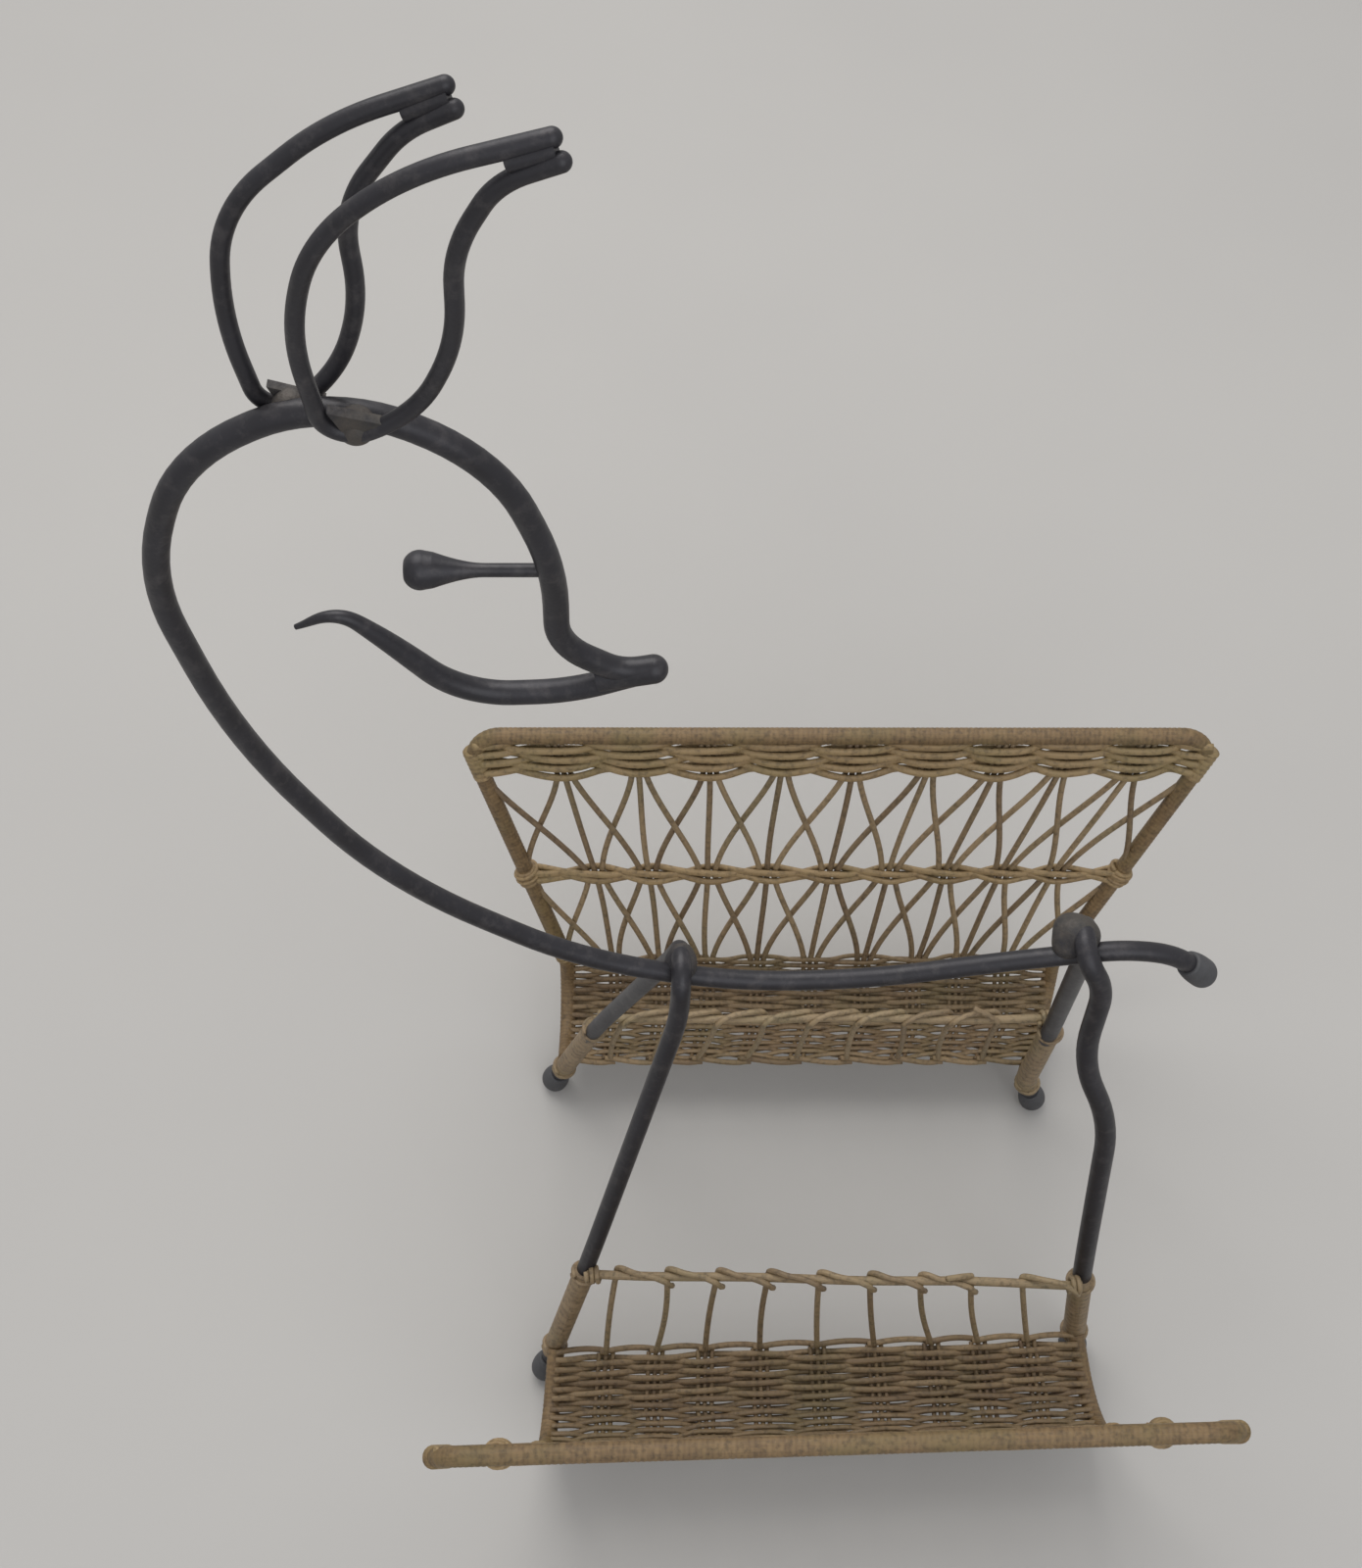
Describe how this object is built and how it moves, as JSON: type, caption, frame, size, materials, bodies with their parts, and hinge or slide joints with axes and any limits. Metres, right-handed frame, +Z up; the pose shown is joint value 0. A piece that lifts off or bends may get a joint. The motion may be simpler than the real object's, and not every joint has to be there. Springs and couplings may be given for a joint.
{
  "type": "donkey magazine rack",
  "caption": "Free-standing wrought-iron donkey that looks back, carrying two open wicker saddle pockets for magazines.",
  "frame": {"origin": "on the floor, under the middle of the overall size", "axes": "+Z up, +X from the chest to the tail, +Y to the far side, so that the pocket with the tighter rim is on -Y"},
  "size_m": [0.4144, 0.3428, 0.7153],
  "materials": {
    "black_iron": "black lacquered round bar, soft gloss",
    "cane": "aged natural cane and reed, woven, dull",
    "rubber_caps": "dark grey rubber drop caps",
    "brazing": "dull brown brazing metal"
  },
  "bodies": {
    "root": {"back_neck_bar": "black_iron", "ear_root_braze": "brazing", "ear_tip_braze": "brazing", "eye_nail": "black_iron", "far_ear": "black_iron", "far_floor_weave": "cane", "far_frame_binding": "cane", "far_frame_rod": "black_iron", "far_frame_ties": "cane", "far_front_foot": "rubber_caps", "far_front_leg_binding": "cane", "far_inner_rail": "cane", "far_inner_stakes": "cane", "far_lower_reeds": "cane", "far_middle_band": "cane", "far_rail_knots": "cane", "far_rear_foot": "rubber_caps", "far_rear_leg_binding": "cane", "far_rim_band": "cane", "far_upper_reeds": "cane", "front_legs": "black_iron", "front_legs_braze": "brazing", "jaw_bar": "black_iron", "near_ear": "black_iron", "near_floor_weave": "cane", "near_frame_binding": "cane", "near_frame_rod": "black_iron", "near_frame_ties": "cane", "near_front_foot": "rubber_caps", "near_front_leg_binding": "cane", "near_inner_rail": "cane", "near_inner_stakes": "cane", "near_lower_reeds": "cane", "near_middle_band": "cane", "near_rail_knots": "cane", "near_rear_foot": "rubber_caps", "near_rear_leg_binding": "cane", "near_rim_band": "cane", "near_upper_reeds": "cane", "rear_legs": "black_iron", "rear_legs_braze": "brazing", "snout_braze": "brazing", "tail_cap": "rubber_caps"}
  },
  "joints": []
}
